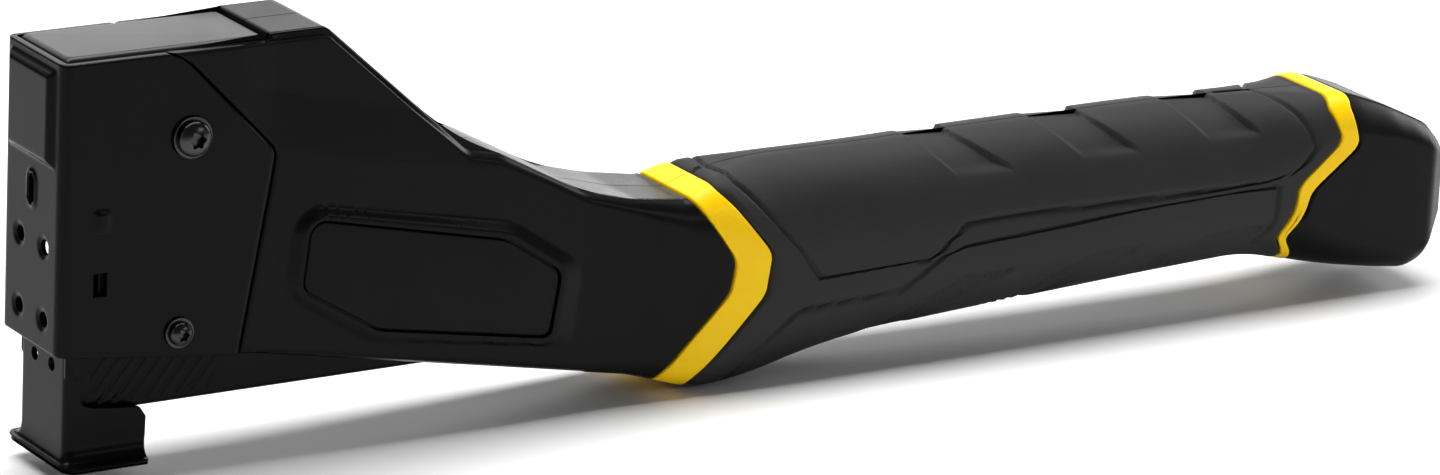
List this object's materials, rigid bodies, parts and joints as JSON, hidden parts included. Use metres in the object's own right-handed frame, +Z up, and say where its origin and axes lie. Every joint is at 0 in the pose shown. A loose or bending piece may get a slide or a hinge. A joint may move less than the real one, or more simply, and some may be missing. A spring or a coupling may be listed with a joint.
{
  "type": "hammer tacker",
  "caption": "Hammer tacker with a folded steel head, a rear-loading staple magazine that swings in the body, and a long rubber grip with a yellow band at each end.",
  "frame": {"origin": "middle of the nose block's sole, the flat face that meets the work", "axes": "+X from the striking head to the butt, +Y from the left side to the right, +Z up from the sole to the head's cover"},
  "size_m": [0.3665, 0.0331, 0.0946],
  "materials": {
    "black_plastic": "semi-gloss black",
    "panel_black": "fine-grained black",
    "grip_rubber": "matte dark grey",
    "band_yellow": "satin yellow",
    "painted_steel": "satin black paint",
    "cast_zinc": "as cast",
    "bright_steel": "bright zinc plated",
    "spring_steel": "drawn wire",
    "black_screw_steel": "black oxide"
  },
  "bodies": {
    "housing": {"left_housing": "black_plastic", "right_housing": "black_plastic", "left_grip": "grip_rubber", "right_grip": "grip_rubber", "front_band_left": "band_yellow", "front_band_right": "band_yellow", "rear_band_left": "band_yellow", "rear_band_right": "band_yellow", "butt_cap": "black_plastic", "left_side_panel": "panel_black", "right_side_panel": "panel_black", "head_shell": "painted_steel", "top_cap": "painted_steel", "head_block": "cast_zinc", "driver_blade": "bright_steel", "driver_screw_lower": "black_screw_steel", "driver_screw_upper": "black_screw_steel", "head_screw": "black_screw_steel", "head_nut": "black_screw_steel", "lower_screw_left": "black_screw_steel", "lower_screw_right": "black_screw_steel", "housing_screw_front": "black_screw_steel", "housing_screw_middle": "black_screw_steel", "grip_screw_front": "black_screw_steel", "grip_screw_rear": "black_screw_steel", "return_spring": "spring_steel"},
    "magazine": {"nose_shoe": "painted_steel", "nose_block": "cast_zinc", "magazine_sheath": "painted_steel", "magazine_channel": "bright_steel", "feed_rail": "bright_steel", "magazine_lid": "bright_steel", "spring_seat": "bright_steel", "hinge_pin_left": "bright_steel", "hinge_pin_right": "bright_steel"},
    "loading_rod": {"loading_plug": "black_plastic", "guide_rod": "bright_steel", "rod_nut": "black_screw_steel", "pusher_spring": "spring_steel"},
    "pusher": {"pusher": "bright_steel"}
  },
  "joints": [
    {"name": "magazine_swing", "type": "hinge", "parent": "housing", "child": "magazine", "pos_m": [0.3152, 0, 0.0176], "axis": [0, 1, 0], "range_deg": [0, 3.9], "stiffness_Nm_per_rad": 104, "springref_deg": -4.01, "deforming": ["return_spring"]},
    {"name": "rod_slide", "type": "slide", "parent": "magazine", "child": "loading_rod", "axis": [1, 0, 0], "range_m": [0, 0.3]},
    {"name": "pusher_slide", "type": "slide", "parent": "loading_rod", "child": "pusher", "axis": [1, 0, 0], "range_m": [0, 0.29], "stiffness_N_per_m": 15, "springref_m": -0.33, "deforming": ["pusher_spring"]}
  ]
}
